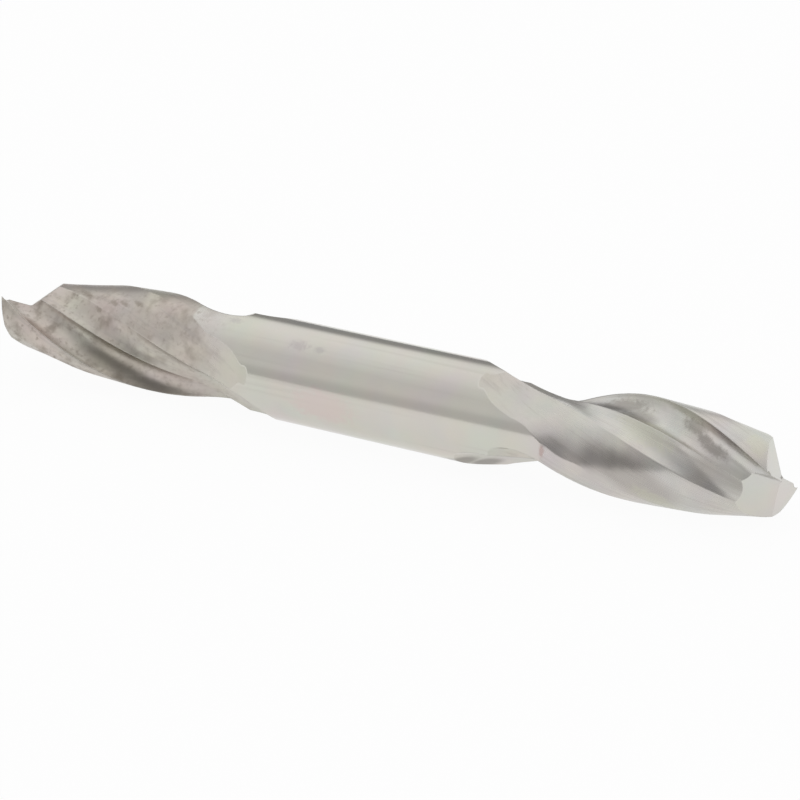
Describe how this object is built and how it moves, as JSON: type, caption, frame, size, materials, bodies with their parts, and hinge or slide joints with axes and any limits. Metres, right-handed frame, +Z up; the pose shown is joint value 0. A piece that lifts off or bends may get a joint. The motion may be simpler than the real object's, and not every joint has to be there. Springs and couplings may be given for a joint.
{
  "type": "square end mill",
  "caption": "Double-end square end mill: a plain round shank with a right-hand spiral-fluted, flat-ended cutting head ground on each end.",
  "frame": {"origin": "middle of the plain shank, on its axis", "axes": "+X along the tool's axis towards the cleaner head; +Z up, square to the axis"},
  "size_m": [0.1042, 0.0126, 0.0126],
  "materials": {
    "tool_steel": "ground bright, lightly stained on one head"
  },
  "bodies": {
    "root": {"end_mill": "tool_steel"}
  },
  "joints": []
}
